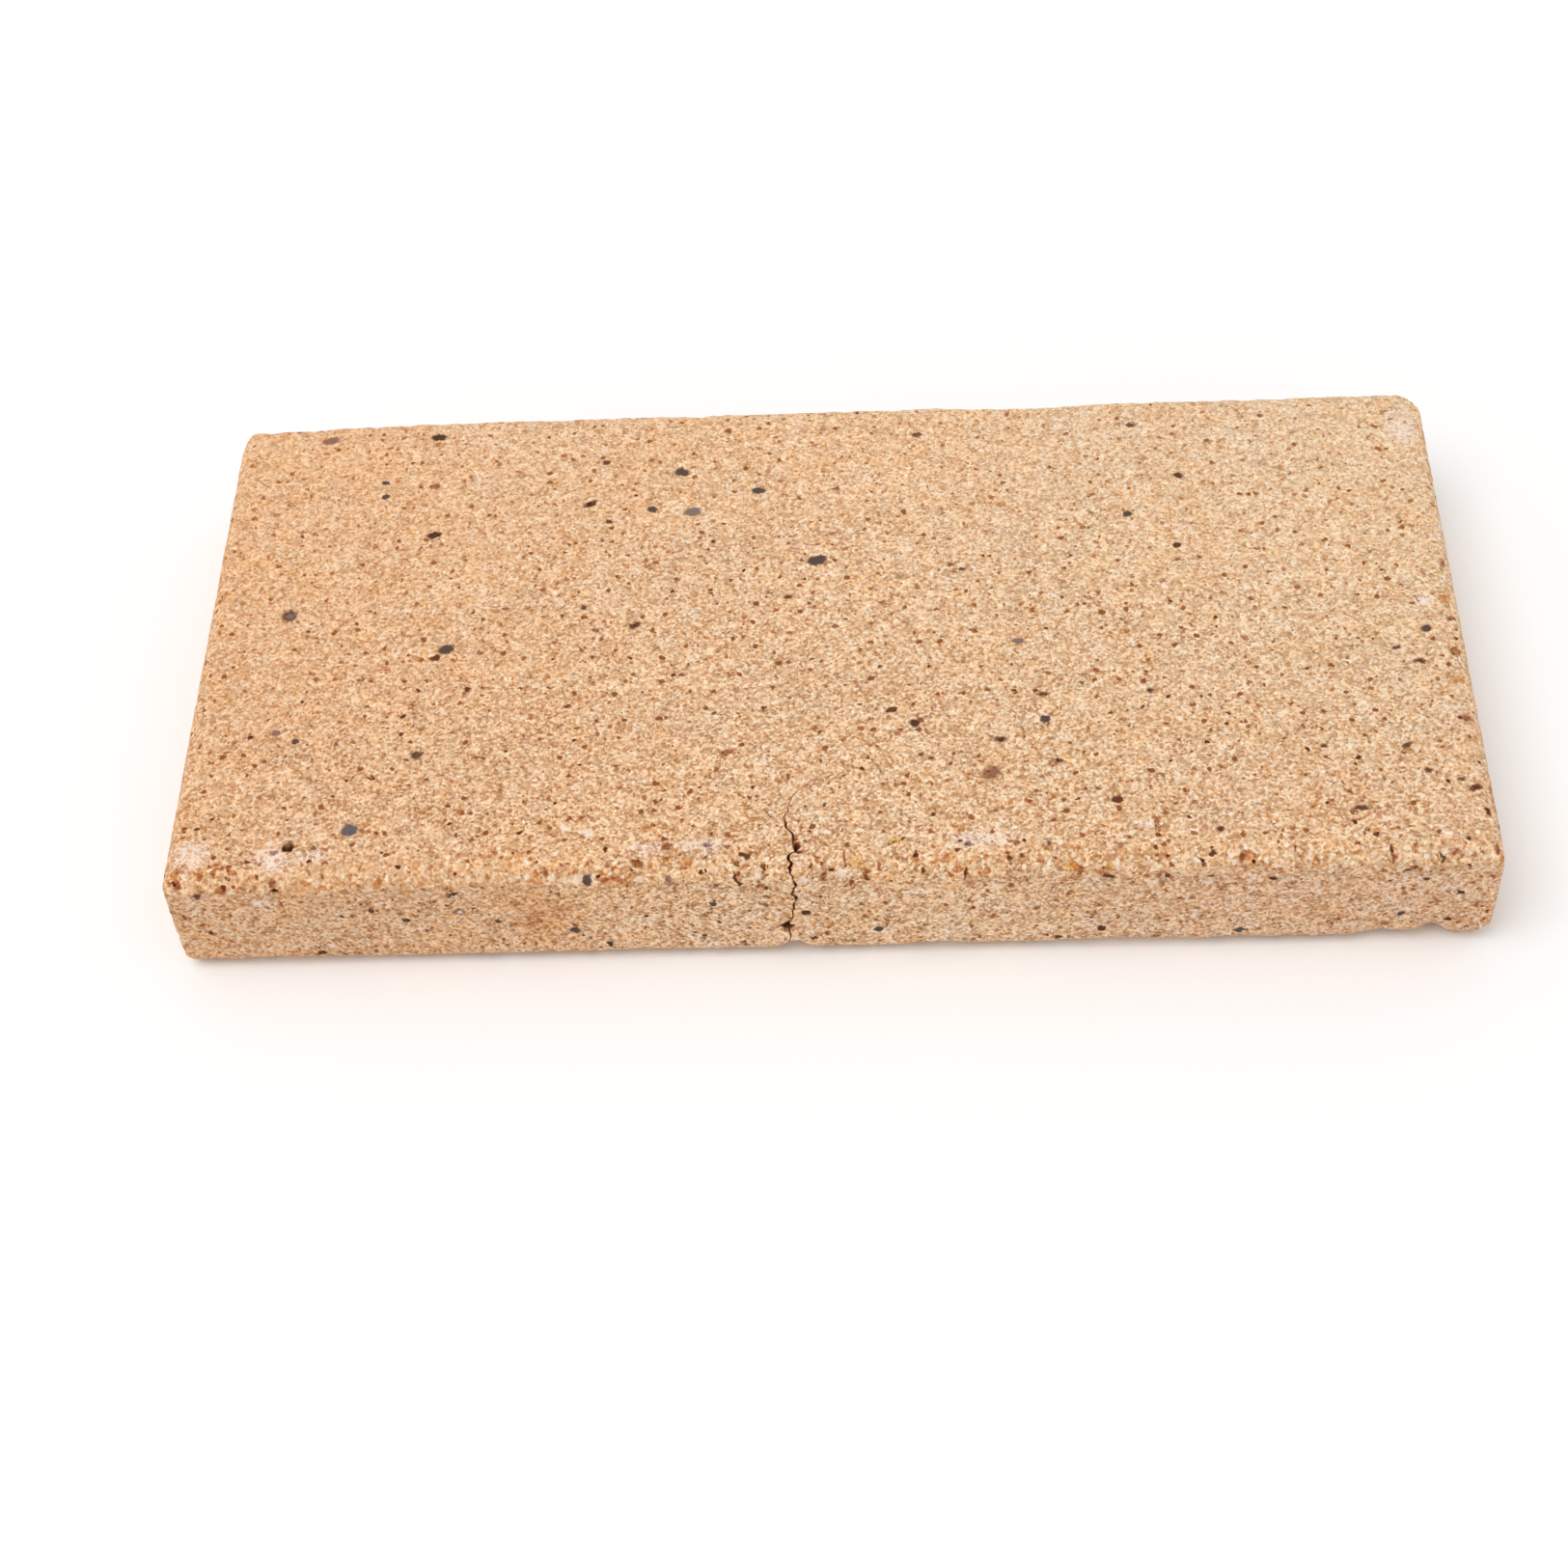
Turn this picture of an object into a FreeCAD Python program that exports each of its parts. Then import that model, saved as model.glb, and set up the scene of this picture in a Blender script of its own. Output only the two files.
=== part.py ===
import FreeCAD, Part
import math
import os

# Refractory firebrick lying on its large face.
# X runs along the length, Y from the cracked front face to the back, Z up.
# The origin is the centre of the underside. Sizes are in millimetres.

V = FreeCAD.Vector

# Block
LENGTH = 230.0
WIDTH = 115.0
HEIGHT = 25.0
FRONT_CORNER_RADIUS = 2.0
BACK_CORNER_RADIUS = 3.0
TOP_ARRIS_RADIUS = 3.5
BOTTOM_ARRIS_RADIUS = 4.0

RIGHT_END = LENGTH / 2.0
LEFT_END = -LENGTH / 2.0
FRONT = -WIDTH / 2.0
BACK = WIDTH / 2.0

# Corner broken off at the back right, largest at the top face
TOP_CHIP_LENGTH = 6.2
TOP_CHIP_WIDTH = 5.7
TOP_CHIP_DROP = 17.0

# Worn foot of the front right corner
FOOT_CHIP_LENGTH = 7.5
FOOT_CHIP_WIDTH = 7.0
FOOT_CHIP_RISE = 5.5

# Crack over the front arris: where it crosses, and how deep it is cut
CRACK_X = -6.3
CRACK_DEPTH = 3.0

# Its path over the top face, from its far end to the arris:
# offset along X, distance behind the front face, width of the opening
CRACK_TOP = (
    (3.8, 22.3, 0.10),
    (3.4, 20.2, 0.25),
    (2.3, 16.9, 0.25),
    (0.4, 16.2, 0.30),
    (-0.6, 12.7, 0.30),
    (-0.3, 9.1, 0.35),
    (0.7, 7.4, 0.60),
    (0.0, 2.9, 0.60),
)

# Its path down the front face, from the arris to the foot:
# offset along X, distance below the top face, width of the opening
CRACK_FRONT = (
    (0.7, 3.0, 0.60),
    (0.0, 5.5, 0.50),
    (0.9, 7.6, 0.50),
    (0.0, 12.9, 0.45),
    (-1.2, 16.7, 0.60),
    (-1.0, 19.5, 0.40),
)

# Scoops worn into the long arrises: place along X, length, depth
FRONT_FOOT_SCOOPS = (
    (RIGHT_END - 10.5, 6.0, 1.1),
    (51.0, 29.0, 0.7),
    (19.5, 13.0, 0.6),
    (CRACK_X, 4.7, 1.6),
    (LEFT_END + 23.0, 30.0, 0.4),
)
FRONT_TOP_SCOOPS = (
    (RIGHT_END - 10.2, 6.5, 0.7),
    (RIGHT_END - 18.5, 4.5, 0.6),
    (CRACK_X + 13.0, 5.0, 0.6),
    (CRACK_X - 7.7, 9.0, 0.5),
    (LEFT_END + 11.2, 7.0, 0.7),
    (LEFT_END + 3.5, 3.5, 0.6),
)
BACK_TOP_SCOOPS = (
    (RIGHT_END - 33.5, 5.0, 0.4),
    (38.0, 34.0, 0.5),
    (-25.0, 6.0, 0.4),
)

# Pits in the top face: place along X, distance behind the front face,
# half size along X, half size across, depth
TOP_PITS = (
    (CRACK_X + 1.3, 5.5, 0.8, 1.5, 1.6),
    (LEFT_END + 22.0, 7.6, 1.0, 1.1, 1.8),
    (24.2, 5.0, 0.7, 0.6, 0.9),
)

# Pits in the front face: place along X, distance below the top face,
# half size along X, half size up and down, depth
FRONT_PITS = (
    (CRACK_X - 1.1, 16.7, 1.2, 0.7, 1.3),
    (LEFT_END + 19.8, 3.0, 0.7, 0.5, 0.8),
    (RIGHT_END - 16.5, 4.5, 0.7, 0.5, 0.8),
)

# How far the cutting shapes stand proud of the block
PROUD = 1.0


def upright_edges(shape, y):
    """The upright edges that lie in the front or the back face."""
    found = []
    for edge in shape.Edges:
        a, b = edge.Vertexes[0].Point, edge.Vertexes[-1].Point
        if abs(a.z - b.z) > HEIGHT / 2.0 and abs(a.y - y) < 1e-6:
            found.append(edge)
    return found


def level_edges(shape, height):
    """The edges that lie wholly at one height."""
    return [e for e in shape.Edges if all(abs(v.Z - height) < 1e-6 for v in e.Vertexes)]


def block():
    """The pressed block with its rounded corners and arrises."""
    shape = Part.makeBox(LENGTH, WIDTH, HEIGHT, V(LEFT_END, FRONT, 0.0))
    shape = shape.makeFillet(FRONT_CORNER_RADIUS, upright_edges(shape, FRONT))
    shape = shape.makeFillet(BACK_CORNER_RADIUS, upright_edges(shape, BACK))
    shape = shape.makeFillet(TOP_ARRIS_RADIUS, level_edges(shape, HEIGHT))
    return shape.makeFillet(BOTTOM_ARRIS_RADIUS, level_edges(shape, 0.0))


def corner_chip(corner, along, across, rise):
    """A pyramid over a sharp corner of the block; its three legs are signed lengths."""
    outside = V(math.copysign(PROUD, along), math.copysign(PROUD, across), math.copysign(PROUD, rise))
    tip = corner - outside
    grow = 1.0 + PROUD / abs(along) + PROUD / abs(across) + PROUD / abs(rise)
    a = tip + V(along * grow, 0.0, 0.0)
    b = tip + V(0.0, across * grow, 0.0)
    c = tip + V(0.0, 0.0, rise * grow)
    corners = ((tip, a, b), (tip, b, c), (tip, c, a), (a, b, c))
    return Part.Solid(Part.Shell([Part.Face(Part.makePolygon([p, q, r, p])) for p, q, r in corners]))


def scoop(x, length, depth, y_side, z_side):
    """A round-bottomed scoop across a long arris, at 45 degrees to both of its faces."""
    radius = (length ** 2 / 4.0 + depth ** 2) / (2.0 * depth)
    arris_radius = TOP_ARRIS_RADIUS if z_side > 0 else BOTTOM_ARRIS_RADIUS
    face_z = HEIGHT if z_side > 0 else 0.0
    inset = arris_radius * (1.0 - math.sqrt(0.5))
    crest = V(x, y_side * (BACK - inset), face_z - z_side * inset)
    outward = V(0.0, y_side, z_side).normalize()
    across = V(0.0, y_side, -z_side).normalize()
    reach = 3.0 * arris_radius
    centre = crest + outward * (radius - depth)
    return Part.makeCylinder(radius, 2.0 * reach, centre - across * reach, across)


def ribbon(path, place):
    """The outline of the crack: its path opened to its width at every point."""
    near = [place(CRACK_X + offset - width / 2.0, run) for offset, run, width in path]
    far = [place(CRACK_X + offset + width / 2.0, run) for offset, run, width in path]
    return Part.Face(Part.makePolygon(near + far[::-1] + near[:1]))


def top_crack():
    """The crack in the top face, run out through the front face."""
    offset, _, width = CRACK_TOP[-1]
    path = CRACK_TOP + ((offset, -PROUD, width),)
    face = ribbon(path, lambda x, run: V(x, FRONT + run, HEIGHT - CRACK_DEPTH))
    return face.extrude(V(0.0, 0.0, CRACK_DEPTH + PROUD))


def front_crack():
    """The crack in the front face, run out through the top and the underside."""
    top_offset, _, top_width = CRACK_TOP[-1]
    foot_offset, _, foot_width = CRACK_FRONT[-1]
    start = (top_offset, -PROUD, top_width)
    end = (foot_offset, HEIGHT + PROUD, foot_width)
    face = ribbon((start,) + CRACK_FRONT + (end,), lambda x, run: V(x, FRONT + CRACK_DEPTH, HEIGHT - run))
    return face.extrude(V(0.0, -CRACK_DEPTH - PROUD, 0.0))


def pit(centre, half_x, half_y, half_z):
    """An egg-shaped hollow centred on the surface."""
    matrix = FreeCAD.Matrix()
    matrix.scale(half_x, half_y, half_z)
    matrix.move(centre)
    return Part.makeSphere(1.0).transformGeometry(matrix)


def cutters():
    """Everything that wear, chipping and cracking took off the block."""
    found = [
        corner_chip(V(RIGHT_END, BACK, HEIGHT), -TOP_CHIP_LENGTH, -TOP_CHIP_WIDTH, -TOP_CHIP_DROP),
        corner_chip(V(RIGHT_END, FRONT, 0.0), -FOOT_CHIP_LENGTH, FOOT_CHIP_WIDTH, FOOT_CHIP_RISE),
        top_crack(),
        front_crack(),
    ]
    worn_arrises = (
        (FRONT_FOOT_SCOOPS, -1, -1),
        (FRONT_TOP_SCOOPS, -1, 1),
        (BACK_TOP_SCOOPS, 1, 1),
    )
    for scoops, y_side, z_side in worn_arrises:
        found += [scoop(x, length, depth, y_side, z_side) for x, length, depth in scoops]
    for x, run, half_x, half_across, depth in TOP_PITS:
        found.append(pit(V(x, FRONT + run, HEIGHT), half_x, half_across, depth))
    for x, run, half_x, half_across, depth in FRONT_PITS:
        found.append(pit(V(x, FRONT, HEIGHT - run), half_x, depth, half_across))
    return found


def firebrick():
    shape = block()
    for cutter in cutters():
        shape = shape.cut(cutter)
    return shape.Solids[0]


os.makedirs("parts", exist_ok=True)
firebrick().exportStep("parts/firebrick.step")
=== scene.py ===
import itertools
import math

import bpy
import numpy as np
from mathutils import Matrix, Vector


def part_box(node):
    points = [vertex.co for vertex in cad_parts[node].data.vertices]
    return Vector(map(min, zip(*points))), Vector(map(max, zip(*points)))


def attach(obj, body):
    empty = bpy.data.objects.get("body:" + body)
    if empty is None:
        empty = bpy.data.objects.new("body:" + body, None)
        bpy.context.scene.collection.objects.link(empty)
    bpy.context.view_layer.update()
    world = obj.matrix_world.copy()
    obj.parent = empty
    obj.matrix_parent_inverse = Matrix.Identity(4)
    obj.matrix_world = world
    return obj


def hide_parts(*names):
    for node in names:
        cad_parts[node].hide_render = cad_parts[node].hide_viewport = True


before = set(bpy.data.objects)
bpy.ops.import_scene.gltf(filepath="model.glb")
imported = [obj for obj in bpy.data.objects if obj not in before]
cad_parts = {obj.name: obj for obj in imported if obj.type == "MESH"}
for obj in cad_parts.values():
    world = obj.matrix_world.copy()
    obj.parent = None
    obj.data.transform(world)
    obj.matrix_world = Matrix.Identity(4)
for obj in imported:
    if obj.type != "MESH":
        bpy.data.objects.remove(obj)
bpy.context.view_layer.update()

# Lengths are in millimetres up to the point where a mesh is made.
MM = 0.001
BOX_LOW, BOX_HIGH = [[c / MM for c in corner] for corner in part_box("firebrick")]
LEFT, FRONT, UNDER = BOX_LOW
RIGHT, BACK, TOP = BOX_HIGH

# Edges of the block. The front corners, and the chip at the foot of the right one, are a little
# smaller than in the part's source, to follow the photograph's outline.
FRONT_CORNER_RADIUS = 1.4
BACK_CORNER_RADIUS = 3.0
TOP_ARRIS_RADIUS = 3.5
BOTTOM_ARRIS_RADIUS = 4.0

# Broken back right corner and worn front right foot: corner, and legs along X, Y and Z
CORNER_CHIPS = (
    ((RIGHT, BACK, TOP), (-6.2, -5.7, -17.0)),
    ((RIGHT, FRONT, UNDER), (-6.5, 5.5, 5.0)),
)

# Scoops in the long arrises: place along X, length, depth, side of Y, side of Z
CRACK_X = -6.3
ARRIS_SCOOPS = (
    (RIGHT - 10.5, 6.0, 1.1, -1, -1),
    (51.0, 29.0, 0.7, -1, -1),
    (19.5, 13.0, 0.6, -1, -1),
    (CRACK_X, 4.7, 1.6, -1, -1),
    (LEFT + 23.0, 30.0, 0.4, -1, -1),
    (RIGHT - 10.2, 6.5, 0.7, -1, 1),
    (RIGHT - 18.5, 4.5, 0.6, -1, 1),
    (CRACK_X + 13.0, 5.0, 0.6, -1, 1),
    (CRACK_X - 7.7, 9.0, 0.5, -1, 1),
    (LEFT + 11.2, 7.0, 0.7, -1, 1),
    (LEFT + 3.5, 3.5, 0.6, -1, 1),
    (RIGHT - 33.5, 5.0, 0.4, 1, 1),
    (38.0, 34.0, 0.5, 1, 1),
    (-25.0, 6.0, 0.4, 1, 1),
)

# The crack, from its foot up the front face and back over the top face: run, offset from
# CRACK_X, width, depth. Run is counted from the front arris: minus down the front, plus over the top.
CRACK = (
    (-24.0, -0.6, 0.25, 0.0),
    (-19.5, -0.9, 0.30, 0.5),
    (-17.0, -0.9, 0.55, 1.0),
    (-15.2, -0.8, 0.44, 0.9),
    (-13.9, -0.1, 0.40, 0.8),
    (-11.7, 0.1, 0.42, 0.9),
    (-7.9, 0.9, 0.46, 1.0),
    (-7.0, 0.2, 0.50, 1.1),
    (-4.8, 0.8, 0.50, 1.2),
    (-2.3, 0.6, 0.54, 1.2),
    (0.0, -0.1, 0.46, 1.1),
    (3.2, 0.1, 0.42, 1.0),
    (4.1, 0.9, 0.50, 1.0),
    (5.5, 1.2, 0.56, 1.1),
    (7.5, 0.5, 0.50, 0.9),
    (8.8, -0.3, 0.42, 0.45),
    (11.2, -0.6, 0.38, 0.24),
    (13.6, -0.1, 0.38, 0.20),
    (15.9, 0.3, 0.40, 0.26),
    (18.9, 3.2, 0.38, 0.22),
    (21.0, 3.7, 0.34, 0.16),
    (23.0, 4.0, 0.25, 0.0),
    (40.0, 0.0, 0.25, 0.0),
)

# Depth of the crack and its painted shade at these half widths from its middle, and the depths from
# and to which the painted shade darkens
CRACK_STEPS = (0.0, 0.5, 1.0, 2.0)
CRACK_PROFILE = (1.0, 0.8, 0.03, 0.0)
CRACK_DARKNESS = (1.0, 0.95, 0.6, 0.0)
CRACK_DARK_DEPTH = (0.0, 0.45)

# Its small turns: noise size, amount, seed
CRACK_TURNS = ((1.3, 0.30, 5), (0.7, 0.26, 6))
# Shares of its width and painted shade that stay, and the noise on top
CRACK_WIDTH_SHARE, CRACK_WIDTH_CHANGE = 0.72, ((1.0, 0.45, 13),)
CRACK_DARK_SHARE, CRACK_DARK_CHANGE = 0.70, ((1.6, 0.6, 14),)

# Pits: face, place along X, distance behind the front face or below the top face,
# half size along X, half size across, depth
PITS = (
    ("top", CRACK_X + 1.3, 5.5, 1.0, 1.7, 1.0),
    ("top", LEFT + 22.0, 7.6, 1.0, 1.0, 1.6),
    ("top", 24.2, 5.0, 0.8, 0.7, 0.8),
    ("front", CRACK_X - 1.1, 16.7, 1.4, 0.8, 1.2),
    ("front", LEFT + 19.8, 3.0, 0.8, 0.6, 0.8),
    ("front", RIGHT - 16.5, 4.5, 0.8, 0.6, 0.8),
)
PIT_ROUGHNESS = ((0.8, 0.7, 11),)
# Painted shade in a pit grows over this part of its bowl, from near the rim to near the middle
PIT_DARKNESS = (0.1, 0.8)

# Wear of the front foot near the right end: place along X, depth
FOOT_WEAR = (
    (RIGHT - 25.0, 0.0),
    (RIGHT - 19.0, 0.8),
    (RIGHT - 14.0, 0.35),
    (RIGHT - 10.5, 1.3),
    (RIGHT - 7.0, 0.25),
    (RIGHT - 3.0, 0.1),
    (RIGHT, 0.2),
)

# Wear of the top arris at the back left corner: place along X, depth
BACK_WEAR = (
    (LEFT, 0.85),
    (LEFT + 12.0, 0.7),
    (LEFT + 28.0, 0.15),
    (LEFT + 38.0, 0.0),
)

# Relief under the worn surface: noise size, amount, seed
BODY_DEPTH = 0.09
BODY_RELIEF = ((9.0, 0.06, 1), (3.6, 0.05, 2), (1.8, 0.035, 3))
ARRIS_RELIEF = ((14.0, 0.12, 7), (3.4, 0.20, 8))
CRUMB_RELIEF = ((2.1, 1.0, 12),)
CRUMB_DEPTH, CRUMB_LESS_IN_BAND = 0.36, 0.20
KNOB_RELIEF = ((2.6, 0.13, 9), (1.3, 0.12, 10))

# How far from an edge the wear is full and where it ends: all arrises, the band over the front
# arris, and the two stretches of extra wear
ARRIS_SPAN = (0.5, 5.0)
BAND_SPAN = (0.0, 9.0)
WEAR_SPAN = (2.0, 9.0)

# Where the front arris is less worn, along X and behind the front face, and by what share
CALM_FROM, CALM_TO, CALM_BEHIND = (-104.0, -96.0), (-62.0, -48.0), (6.0, 12.0)
CALM_SHARE = 0.5
# The upright front right corner is less worn too, from this far below the top face
UPRIGHT_SPAN, UPRIGHT_BELOW, UPRIGHT_SHARE = (0.0, 8.0), (2.0, 5.0), 0.8

# The skin's lattice: steps left and right of the crack, then where each stretch ends and its
# steps, from the front to the back and from the underside to the top
STEPS_LEFT, STEPS_RIGHT = 166, 185
STRETCHES_BACK = ((FRONT + 9.0, 22), (FRONT + 24.0, 24), (BACK - 5.0, 63), (BACK, 8))
STRETCHES_UP = ((TOP - 9.0, 22), (TOP, 22))
# The underside keeps one line in three
UNDER_STRIDE = 3
# Lines along the crack, in half widths from its middle, the half width that they have before the
# crack bends them, how far the bend reaches, and what stands for a line outside the crack
CRACK_LINES = (-2.0, -1.0, -0.5, 0.0, 0.5, 1.0, 2.0)
CRACK_UNIT = 0.3
CRACK_BLEND = 13.0
NOT_IN_CRACK = 99.0
# Round a pit the lines are drawn together to this share of their spacing, this far round and not
# next to the arris; pits that are as near to the crack as this leave them alone
PINCH = 0.45
PINCH_REACH = 6.0
PINCH_FROM_ARRIS = {"top": (0.0, 2.5), "front": (0.0, 2.0)}
PINCH_OFF_CRACK = 4.0

# The lattice's points move straight in from the sharp box, towards a core this far inside, and
# meet the worn block by halving the way this often
CORE_INSET = 6.0
HALVINGS = 18
# Two places nearer than this are the same
TINY = 1e-6
# Faces that meet at more degrees than this keep a sharp edge
SHARP_ANGLE = 50.0

# Whole numbers that scramble the noise: one for each axis, one for the seed, and two rounds more
SCRAMBLE_AXES = (73856093, 19349663, 83492791)
SCRAMBLE_SEED = 2654435
SCRAMBLE_ROUNDS = ((13, 1274126177), (16, 2246822519))


def smooth(edge_0, edge_1, value):
    t = np.clip((value - edge_0) / (edge_1 - edge_0), 0.0, 1.0)
    return t * t * (3.0 - 2.0 * t)


def lattice_noise(points, size, seed):
    """Smooth noise from -1 to 1, with features of about the given size."""
    q = points / size + 100.0
    cell = np.floor(q).astype(np.int64)
    part = q - cell
    part = part * part * (3.0 - 2.0 * part)
    total = np.zeros(len(points))
    for corner in itertools.product((0, 1), repeat=3):
        c = cell + np.array(corner)
        h = seed * SCRAMBLE_SEED
        weight = np.ones(len(points))
        for axis, factor in enumerate(SCRAMBLE_AXES):
            h = h ^ (c[:, axis] * factor)
            weight = weight * (part[:, axis] if corner[axis] else 1.0 - part[:, axis])
        for shift, factor in SCRAMBLE_ROUNDS:
            h = ((h ^ (h >> shift)) * factor) & 0xFFFFFFFF
        total += weight * (((h >> 8) & 0xFFFF) / 32767.5 - 1.0)
    return total


def waves(points, rows, folded=False):
    """Noise of several sizes added up; folded, it is never less than nothing."""
    total = np.zeros(len(points))
    for size, amount, seed in rows:
        noise = lattice_noise(points, size, seed)
        total += amount * (np.abs(noise) if folded else noise)
    return total


def rounded(a, b, radius):
    """Distance from a corner with this radius; a and b are the distances past the round's centre."""
    outside = np.hypot(np.maximum(a, 0.0), np.maximum(b, 0.0))
    return outside + np.minimum(np.maximum(a, b), 0.0) - radius


def block_distance(p):
    """Negative inside the worn block, zero on its surface, positive outside."""
    x, y, z = p[:, 0], p[:, 1], p[:, 2]
    corner = np.where(y < 0.0, FRONT_CORNER_RADIUS, BACK_CORNER_RADIUS)
    plan = rounded(np.abs(x) - RIGHT + corner, np.abs(y) - BACK + corner, corner)
    arris = np.where(z > TOP / 2.0, TOP_ARRIS_RADIUS, BOTTOM_ARRIS_RADIUS)
    found = rounded(plan + arris, np.maximum(z - TOP, UNDER - z) + arris, arris)
    for tip, legs in CORNER_CHIPS:
        scaled = (p - np.array(tip)) / np.array(legs)
        found = np.maximum(found, (1.0 - scaled.sum(axis=1)) / np.linalg.norm(1.0 / np.array(legs)))
    for place, length, depth, y_side, z_side in ARRIS_SCOOPS:
        radius = (length ** 2 / 4.0 + depth ** 2) / (2.0 * depth)
        arris_radius = TOP_ARRIS_RADIUS if z_side > 0 else BOTTOM_ARRIS_RADIUS
        inset = arris_radius * (1.0 - math.sqrt(0.5))
        crest_y = y_side * (BACK - inset)
        crest_z = (TOP if z_side > 0 else UNDER) - z_side * inset
        out = ((y - crest_y) * y_side + (z - crest_z) * z_side) * math.sqrt(0.5)
        found = np.maximum(found, radius - np.hypot(x - place, out - (radius - depth)))
    return found


def stretched(start, stretches):
    """Places from start on, evenly spaced within each stretch."""
    places = [start]
    for end, steps in stretches:
        places += np.linspace(places[-1], end, steps + 1)[1:].tolist()
    return np.array(places)


def lattice_lines():
    """Places of the lattice's lines along X, Y and Z."""
    half = CRACK_UNIT * CRACK_LINES[-1]
    left = np.linspace(LEFT, CRACK_X - half, STEPS_LEFT + 1)
    middle = CRACK_X + CRACK_UNIT * np.array(CRACK_LINES[1:-1])
    right = np.linspace(CRACK_X + half, RIGHT, STEPS_RIGHT + 1)
    xs = np.concatenate([left, middle, right])
    return xs, stretched(FRONT, STRETCHES_BACK), stretched(UNDER, STRETCHES_UP)


def lattice():
    """Numbers the lattice points on the skin of the block and joins them into faces."""
    xs, ys, zs = lattice_lines()
    nx, ny, nz = len(xs) - 1, len(ys) - 1, len(zs) - 1
    i, j, k = np.meshgrid(np.arange(nx + 1), np.arange(ny + 1), np.arange(nz + 1), indexing="ij")
    wall = (i == 0) | (i == nx) | (j == 0) | (j == ny)
    under = (k == 0) & (wall | ((i % UNDER_STRIDE == 0) & (j % UNDER_STRIDE == 0)))
    used = (k == nz) | (wall & (k > 0)) | under
    number = np.full(used.shape, -1)
    number[used] = np.arange(used.sum())
    ijk = np.stack([i[used], j[used], k[used]], axis=1)

    def quads(sheet, flip):
        a, b, c, d = sheet[:-1, :-1], sheet[1:, :-1], sheet[1:, 1:], sheet[:-1, 1:]
        ring = (a, d, c, b) if flip else (a, b, c, d)
        return np.stack([r.ravel() for r in ring], axis=1).tolist()

    faces = quads(number[:, :, nz], False)
    faces += quads(number[:, 0, :], False) + quads(number[:, ny, :], True)
    faces += quads(number[0, :, :], True) + quads(number[nx, :, :], False)
    step = UNDER_STRIDE
    for a in range(0, nx, step):
        for b in range(0, ny, step):
            ring = [(a + t, b) for t in range(step)]
            ring += [(a + step, b + t) for t in range(step)]
            ring += [(a + step - t, b + step) for t in range(step)]
            ring += [(a, b + step - t) for t in range(step)]
            face = [number[u, v, 0] for u, v in ring if number[u, v, 0] >= 0]
            faces.append([int(n) for n in face[::-1]])
    sharp = np.stack([xs[ijk[:, 0]], ys[ijk[:, 1]], zs[ijk[:, 2]]], axis=1)
    across_lines = np.full(nx + 1, NOT_IN_CRACK)
    across_lines[STEPS_LEFT:STEPS_LEFT + len(CRACK_LINES)] = CRACK_LINES
    return sharp, faces, across_lines[ijk[:, 0]]


def crack_run(p):
    """Distance from the front arris, over the top (plus) or down the front (minus)."""
    on_front = (p[:, 1] <= FRONT + TINY) & (p[:, 2] < TOP)
    on_top = p[:, 2] >= TOP - TINY
    run = np.where(on_front, p[:, 2] - TOP, p[:, 1] - FRONT)
    return run, on_top | on_front


def on_a_line(run):
    """Points on a line, so that noise changes along it alone."""
    return np.stack([run, run * 0.0, run * 0.0], axis=1)


def pit_place(p, face, run_in):
    """Which points lie in the pit's face, the axis across it, and where the pit is on that axis."""
    if face == "top":
        return p[:, 2] >= TOP - TINY, 1, FRONT + run_in
    return p[:, 1] <= FRONT + TINY, 2, TOP - run_in


def warp(sharp, across):
    """Bends the lattice's lines along the crack and draws them together at the pits."""
    p = sharp.copy()
    runs, offsets, widths, depths = [np.array(column) for column in zip(*CRACK)]
    run, on_path = crack_run(p)
    line = on_a_line(run)
    depth = np.interp(run, runs, depths) * on_path
    offset = (np.interp(run, runs, offsets) + waves(line, CRACK_TURNS) * (depth > 0.0)) * on_path
    width = np.interp(run, runs, widths) * (CRACK_WIDTH_SHARE + waves(line, CRACK_WIDTH_CHANGE))
    fall = 1.0 - smooth(CRACK_UNIT * CRACK_LINES[-1], CRACK_BLEND, np.abs(p[:, 0] - CRACK_X))
    p[:, 0] += offset * fall
    in_crack = (across != NOT_IN_CRACK) & on_path
    p[in_crack, 0] = (CRACK_X + offset + across * width / 2.0)[in_crack]
    for face, x, run_in, *_ in PITS:
        if abs(x - CRACK_X) < PINCH_OFF_CRACK:
            continue
        on_face, axis, place = pit_place(p, face, run_in)
        away = np.stack([p[:, 0] - x, p[:, axis] - place], axis=1)
        pull = PINCH + (1.0 - PINCH) * smooth(0.0, PINCH_REACH, np.hypot(away[:, 0], away[:, 1]))
        from_arris = p[:, 1] - FRONT if face == "top" else TOP - p[:, 2]
        pull = 1.0 - (1.0 - pull) * smooth(*PINCH_FROM_ARRIS[face], from_arris)
        p[on_face, 0] = (x + away[:, 0] * pull)[on_face]
        p[on_face, axis] = (place + away[:, 1] * pull)[on_face]
    return p, depth


def onto_block(sharp):
    """Moves points of the sharp box straight in onto the worn block's surface."""
    core = np.clip(sharp, np.array(BOX_LOW) + CORE_INSET, np.array(BOX_HIGH) - CORE_INSET)
    arm = sharp - core
    near, far = np.zeros(len(sharp)), np.ones(len(sharp))
    for _ in range(HALVINGS):
        middle = (near + far) / 2.0
        inside = block_distance(core + arm * middle[:, None]) < 0.0
        near, far = np.where(inside, middle, near), np.where(inside, far, middle)
    direction = arm / np.linalg.norm(arm, axis=1, keepdims=True)
    return core + arm * near[:, None], direction


def near_edge(away_a, away_b, span):
    """1 on the edge where both distances are nothing, and 0 well away from it."""
    return 1.0 - smooth(*span, away_a + away_b)


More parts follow.
